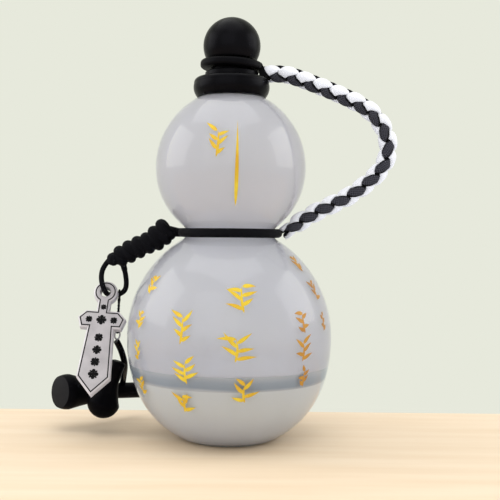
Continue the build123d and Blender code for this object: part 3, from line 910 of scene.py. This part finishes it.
def waist_cord():
    centre, radius = 25.85, 2.4
    angles = full_turn(240)
    wave = 0.05 * np.sin(angles * 3 + 1)
    line = np.stack([centre * np.sin(angles), -centre * np.cos(angles), WAIST_Z + wave], axis=1)
    shape = Shape()
    tube(shape, line, radius, 20, closed=True)
    place(shape.make("waist_cord_sheath", [CORD], 180), "bottle", ("waist_cord",))


# lanyard

KNOT_START = np.array((-29.25, 0.0, 110.9))
KNOT_SLOPE = math.radians(25.2)
KNOT_ALONG = np.array((-math.cos(KNOT_SLOPE), 0.0, -math.sin(KNOT_SLOPE)))
KNOT_UP = np.array((-math.sin(KNOT_SLOPE), 0.0, math.cos(KNOT_SLOPE)))
FRONT = np.array((0.0, -1.0, 0.0))
KNOT_SPAN = 40.5
# how far each lump reaches: along the knot, and up or down from its line
KNOT_TOPS = [(4.3, 9.8), (9.8, 8.2), (15.1, 6.7), (20.3, 6.9), (25.7, 6.8), (31.3, 6.1), (36.4, 4.1)]
KNOT_FEET = [(8.0, -4.9), (12.9, -5.9), (18.0, -5.5), (23.7, -5.6), (29.3, -5.8), (34.2, -5.7), (38.0, -3.2)]


def knot_point(along, up, front):
    return KNOT_START + KNOT_ALONG * along + KNOT_UP * up + FRONT * front


def knot_edge(along, lumps):
    return float(np.interp(along, [a for a, _ in lumps], [u for _, u in lumps]))


def bight(shape, along, high, low, deep, thick, tilt):
    """One turn of the knot's cord round its core, leaning from its high side to its low side."""
    middle, half = (high + low) / 2, (high - low) / 2
    ring = []
    for a in full_turn(48):
        up = half * math.copysign(abs(math.cos(a)) ** 0.85, math.cos(a))
        shift = tilt * up + 0.5 * math.sin(2 * a)
        ring.append(knot_point(along + shift, middle + up, deep * math.sin(a)))
    tube(shape, ring, thick, 16, closed=True)


def lanyard_knot():
    """Snake knot: fat bights in turn over the top and below, packed on a core, on a short thick neck."""
    shape = Shape()
    for along, reach in KNOT_TOPS:
        share = along / KNOT_SPAN
        thick = 2.8 - 0.35 * share
        inner = knot_edge(along, KNOT_FEET) + thick + 1.5
        bight(shape, along + 0.5, reach - thick, inner, 3.7 - 0.6 * share, thick, 0.3)
    for along, reach in KNOT_FEET:
        share = along / KNOT_SPAN
        thick = 2.7 - 0.35 * share
        inner = knot_edge(along, KNOT_TOPS) - thick - 1.5
        bight(shape, along - 0.3, inner, reach + thick, 3.8 - 0.6 * share, thick, 0.3)
    ats = np.linspace(4.0, KNOT_SPAN - 1.0, 36)
    tops = np.array([knot_edge(a, KNOT_TOPS) for a in ats]) - 1.3
    feet = np.array([knot_edge(a, KNOT_FEET) for a in ats]) + 1.3
    core = [knot_point(a, (t + f) / 2, 0) for a, t, f in zip(ats, tops, feet)]
    ends = np.minimum(1, np.sqrt(np.minimum(ats - ats[0], ats[-1] - ats) / 2.5 + 0.25))
    tube(shape, core, (tops - feet) / 2 * ends, 24)
    # the cord leaves the waist level and bends into the knot
    bend = [(-25.9, 0, 110.3), (-28.0, 0, 110.3), (-30.2, 0, 110.6), (-32.2, 0, 110.8), (-35.0, 0, 110.4)]
    tube(shape, bend, (2.35, 2.4, 2.6, 3.0, 3.4), 20)
    # stubs that the loop's two strands come out of
    for start, end in ((LOOP_ROUTE[0], LOOP_ROUTE[1]), (LOOP_ROUTE[-1], LOOP_ROUTE[-2])):
        start, run = np.array(start), unit(np.subtract(end, start))
        tube(shape, [start + run * at for at in (-3.0, -1.0, 1.2, 1.6)], (1.6, 1.65, 1.6, 1.45), 14)
    place(shape.make("snake_knot", [CORD], 180), "bottle", ("lanyard_knot",))


EYE = np.array((-66.75, -1.0, 76.86))
PITCH, LEAN = math.radians(28.0), math.radians(3.5)
SWORD_THICK, EYE_R, HOLE_R = 4.5, 5.5, 2.7
GRIP, GUARD_TOP, GUARD_FOOT, BLADE_END, TIP = 2.5, 11.8, 19.9, 47.5, 56.1
GUARD_HALF, BLADE_ROOT, BLADE_HALF = 11.8, 6.1, 7.9
HALF_OUTLINE = [
    (GRIP, -GUARD_TOP),
    (GUARD_HALF * 0.71, -GUARD_TOP),
    (GUARD_HALF, -GUARD_TOP - 8.1 * 0.43),
    (GUARD_HALF * 0.87, -GUARD_FOOT),
    (BLADE_ROOT, -GUARD_FOOT),
    (BLADE_HALF, -BLADE_END),
]


def sword_loop(out):
    """Outline of the sword moved outwards, starting where the eye's ring meets the grip on the right."""
    corners = [(GRIP, 0.0), *HALF_OUTLINE, (0.0, -TIP)]
    corners += [(-x, y) for x, y in reversed([(GRIP, 0.0), *HALF_OUTLINE])]
    moved = []
    for before, here, after in zip(corners, corners[1:], corners[2:]):
        a, b = unit(np.subtract(here, before)), unit(np.subtract(after, here))
        na, nb = np.array((-a[1], a[0])), np.array((-b[1], b[0]))
        mitre = (na + nb) / (1 + na @ nb)
        moved.append(tuple(np.array(here) + mitre * out))
    radius = EYE_R + out
    grip = GRIP + out
    join = -math.sqrt(radius**2 - grip**2)
    start = math.atan2(join, grip)
    ring = [(radius * math.cos(a), radius * math.sin(a)) for a in np.linspace(start, math.pi - start, 41)]
    return ring + moved[::-1]


def sword_point(x, y, depth):
    """Point of the sword: right, up and towards the front, from the eye's middle."""
    c, s = math.cos(LEAN), math.sin(LEAN)
    x, y = x * c + y * s, -x * s + y * c
    cp, sp = math.cos(PITCH), math.sin(PITCH)
    return EYE + np.array((x, 0, 0)) + y * np.array((0, sp, cp)) + depth * np.array((0, -cp, sp))


def sword():
    """Flat sword: bevelled front edge, dark line inside it, the eye and small plain ornaments."""
    shape = Shape()
    half = SWORD_THICK / 2
    # how far out of the face's outline, and how far in front of the plate's middle
    loops = [(-0.02, half), (0.12, half - 0.03), (0.8, half - 0.62), (0.9, half - 0.9)]
    loops += [(0.9, -half + 0.25), (0.65, -half)]
    rows = [[sword_point(x, y, depth) for x, y in sword_loop(out)] for out, depth in loops]
    # the bevels, sides and back chamfer take the paler metal, painted light
    shape.grid(rows, mark=[0, 2, 2, 2, 2])
    turns = full_turn(36)
    cut = 0.35
    rims = ((HOLE_R + cut, half), (HOLE_R, half - cut), (HOLE_R, cut - half), (HOLE_R + cut, -half))
    shape.grid([[sword_point(r * math.cos(a), r * math.sin(a), depth) for a in turns] for r, depth in rims])
    obj = shape.make("sword_plate", [METAL, INK, PAINTED_EDGE_LIGHT], 28, solid=False)
    close_faces(obj)
    line = Shape()
    edge = [
        [sword_point(x, y, half + lift) for x, y in sword_loop(out)]
        for out, lift in ((-0.05, 0.0), (-0.08, 0.05), (-0.62, 0.05), (-0.66, 0.0))
    ]
    line.grid(edge)
    for x, y, size, turned in ORNAMENTS:
        ornament(line, x, y, size, turned, half)
    paint_obj = line.make("sword_line", [INK], 50, solid=False)
    place(obj, "sword", ("sword_pendant",))
    place(paint_obj, "sword")


# right of and below the eye, size, and how far each motif is turned
ORNAMENTS = [(0.2, -8.9, 1.7, 10), (-6.6, -16.2, 2.0, 0), (0.0, -16.2, 2.9, 45), (6.6, -16.2, 2.1, 0)]
ORNAMENTS += [(0.0, -26.2, 2.5, 0), (0.0, -33.0, 2.6, 45), (0.0, -39.6, 2.6, 0), (0.0, -46.2, 2.9, 45)]


def ornament(shape, x, y, size, turned, depth):
    """Heavy four-leaved motif with small drops between the leaves, in dark paint."""
    leaves = [(45 + 90 * k, 0.0, size, 0.6) for k in range(4)]
    leaves += [(90 * k, 0.42 * size, 0.55 * size, 0.5) for k in range(4)]
    for heading, start, length, plump in leaves:
        turn = math.radians(heading + turned)
        rows = []
        for grow, lift in ((1.0, 0.0), (0.97, 0.05), (0.5, 0.05)):
            rows.append([])
            for a in full_turn(16):
                r = 0.48 * length * (1 + grow * math.cos(a))
                w = plump * length * math.sin(a) * (0.55 + 0.45 * math.cos(a / 2) ** 2) * grow * 0.72
                px = (start + r) * math.cos(turn) - w * math.sin(turn)
                py = (start + r) * math.sin(turn) + w * math.cos(turn)
                rows[-1].append(sword_point(x + px, y + py, depth + lift))
        shape.grid(rows, caps=(False, True))


def close_faces(obj):
    """Fills the front and the back between the outline and the eye."""
    work = bmesh.new()
    work.from_mesh(obj.data)
    open_edges = [e for e in work.edges if e.is_boundary]
    normal = Vector((0, -math.cos(PITCH), math.sin(PITCH)))
    middle = Vector(EYE * MM)
    for front in (True, False):
        chosen = [e for e in open_edges if (sum((v.co - middle).dot(normal) for v in e.verts) > 0) == front]
        bmesh.ops.triangle_fill(work, edges=chosen, use_beauty=True, use_dissolve=False)
    bmesh.ops.recalc_face_normals(work, faces=work.faces)
    work.to_mesh(obj.data)
    work.free()
    obj.data.polygons.foreach_set("use_smooth", [True] * len(obj.data.polygons))
    obj.data.set_sharp_from_angle(angle=math.radians(28))


STRING_TOP = np.array((-60.28, 4.6, 76.15))
STRING_FOOT = np.array((-61.18, 4.2, 56.1))


def circle(angles, a, b):
    """Unit circle in the plane of two directions."""
    return np.cos(angles)[:, None] * np.array(a, float) + np.sin(angles)[:, None] * np.array(b, float)


def pendant_string():
    """Thin twisted string with an eye round the loop and a smaller one round the wire ring."""
    shape = Shape()
    run = unit(STRING_FOOT - STRING_TOP)
    side = unit(np.cross(run, (0, 1, 0)))
    back = np.cross(run, side)
    length = np.linalg.norm(STRING_FOOT - STRING_TOP)
    at = np.linspace(2.0, length - 1.0, 90)
    for ply in range(2):
        angle = 2 * math.pi * at / 3.2 + ply * math.pi
        line = STRING_TOP + at[:, None] * run + 0.36 * circle(angle, side, back)
        tube(shape, line, 0.4, 8)
    angles = full_turn(30)
    eyes = ((STRING_TOP, 2.2, (0, 1, 0)), (STRING_FOOT, 1.1, (math.sin(math.radians(60)), -0.5, 0)))
    for centre, radius, across in eyes:
        tube(shape, centre + radius * circle(angles, across, (0, 0, 1.0)), 0.5, 8, closed=True)
    for k in range(3):
        knot = STRING_TOP + run * (2.6 + 0.55 * k)
        tube(shape, knot + 0.62 * circle(angles, side, back), 0.3, 6, closed=True)
    place(shape.make("twisted_string", [THREAD], 180), "clubs", ("pendant_string",))


def club_profile(length, head, handle, end_shares):
    """End face, rounded cheek, a handle that narrows away, and a softly rounded end."""
    rise, face, cheek, shoulder = (share * head for share in end_shares)
    end_face = arc_through((0.5, rise * 0.003), (face / 2, rise / 4), (face, rise), 10)
    turn = arc_through((face, rise), (cheek, shoulder / 2), (head, shoulder), 12)
    taper = length * 0.66
    middle = handle + (head - handle) * 0.4
    down = arc_through((head, shoulder), (middle, (shoulder + taper) / 2), (handle, taper), 20)
    grip = [(handle, z) for z in np.linspace(taper + 1.5, length - 0.9, 6)]
    end = [(handle - 0.25, length - 0.3), (handle - 0.9, length), (0.6, length)]
    return end_face, turn[1:] + down[1:] + grip + end


def arc_through(a, b, c, count):
    """Points of the arc through three points, from the first to the last."""
    (ax, ay), (bx, by), (cx, cy) = a, b, c
    d = 2 * (ax * (by - cy) + bx * (cy - ay) + cx * (ay - by))
    if abs(d) < 1e-6:
        return [(ax + (cx - ax) * t, ay + (cy - ay) * t) for t in np.linspace(0, 1, count)]
    a2, b2, c2 = ax * ax + ay * ay, bx * bx + by * by, cx * cx + cy * cy
    ux = (a2 * (by - cy) + b2 * (cy - ay) + c2 * (ay - by)) / d
    uy = (a2 * (cx - bx) + b2 * (ax - cx) + c2 * (bx - ax)) / d
    radius = math.hypot(ax - ux, ay - uy)
    start, mid, end = (math.atan2(y - uy, x - ux) for x, y in (a, b, c))
    mid = start + (mid - start + math.pi) % (2 * math.pi) - math.pi
    end = mid + (end - mid + math.pi) % (2 * math.pi) - math.pi
    return [(ux + radius * math.cos(t), uy + radius * math.sin(t)) for t in np.linspace(start, end, count)]


def club(way, foot, top, length, head, handle, end_shares):
    """Club charm from its head's end to its thin end; way says how it hangs."""
    foot, top = np.array(foot, float), np.array(top, float)
    axis = unit(top - foot)
    side = unit(np.cross((0, 1, 0), axis))
    back = np.cross(axis, side)
    shape = Shape()
    angles = full_turn(56)
    end_face, rest = club_profile(length, head, handle, end_shares)
    # only a flat end has a face of its own, in a paler rubber whose tone is painted light on it
    flat = end_shares[0] < 0.1
    marks = [1 if flat else 0] * (len(end_face) - 1) + [0] * len(rest)
    rows = [foot + axis * z + r * circle(angles, side, back) for r, z in end_face + rest]
    shape.grid(rows, mark=marks, caps=(True, True))
    obj = shape.make(way + "_club", [RUBBER, END_FACE_LIGHT], 40 if flat else 80)
    return place(obj, "clubs", ("club_" + way,))


# shares of the head's radius: the end face's rise and radius, the cheek's radius, the shoulder's height
FLAT_END, ROUND_END = (0.06, 0.9, 0.975, 0.6), (0.3, 0.714, 0.866, 1.0)


def lanyard():
    lanyard_knot()
    sword()
    round_cord("loop_cord", LOOP_ROUTE, 2.8, CORD, "lanyard_loop", "bottle")
    pendant_string()
    dress("pendant_ring", STEEL)
    level = club("level", (-93.4, 8.0, 21.6), (-52.4, 47.1, 15.9), 57.0, 9.7, 4.5, FLAT_END)
    upright = club("upright", (-71.6, 6.0, 8.4), (-60.3, 6.0, 39.0), 32.6, 9.0, 4.0, ROUND_END)
    round_cord(
        "hanging_cord", PENDANT_ROUTE, 3.5, GLOSSY, "pendant_cord", "clubs",
    )


carry_strap()
bottle()
water()
gold_print()
dress_lid()
waist_cord()
lanyard()
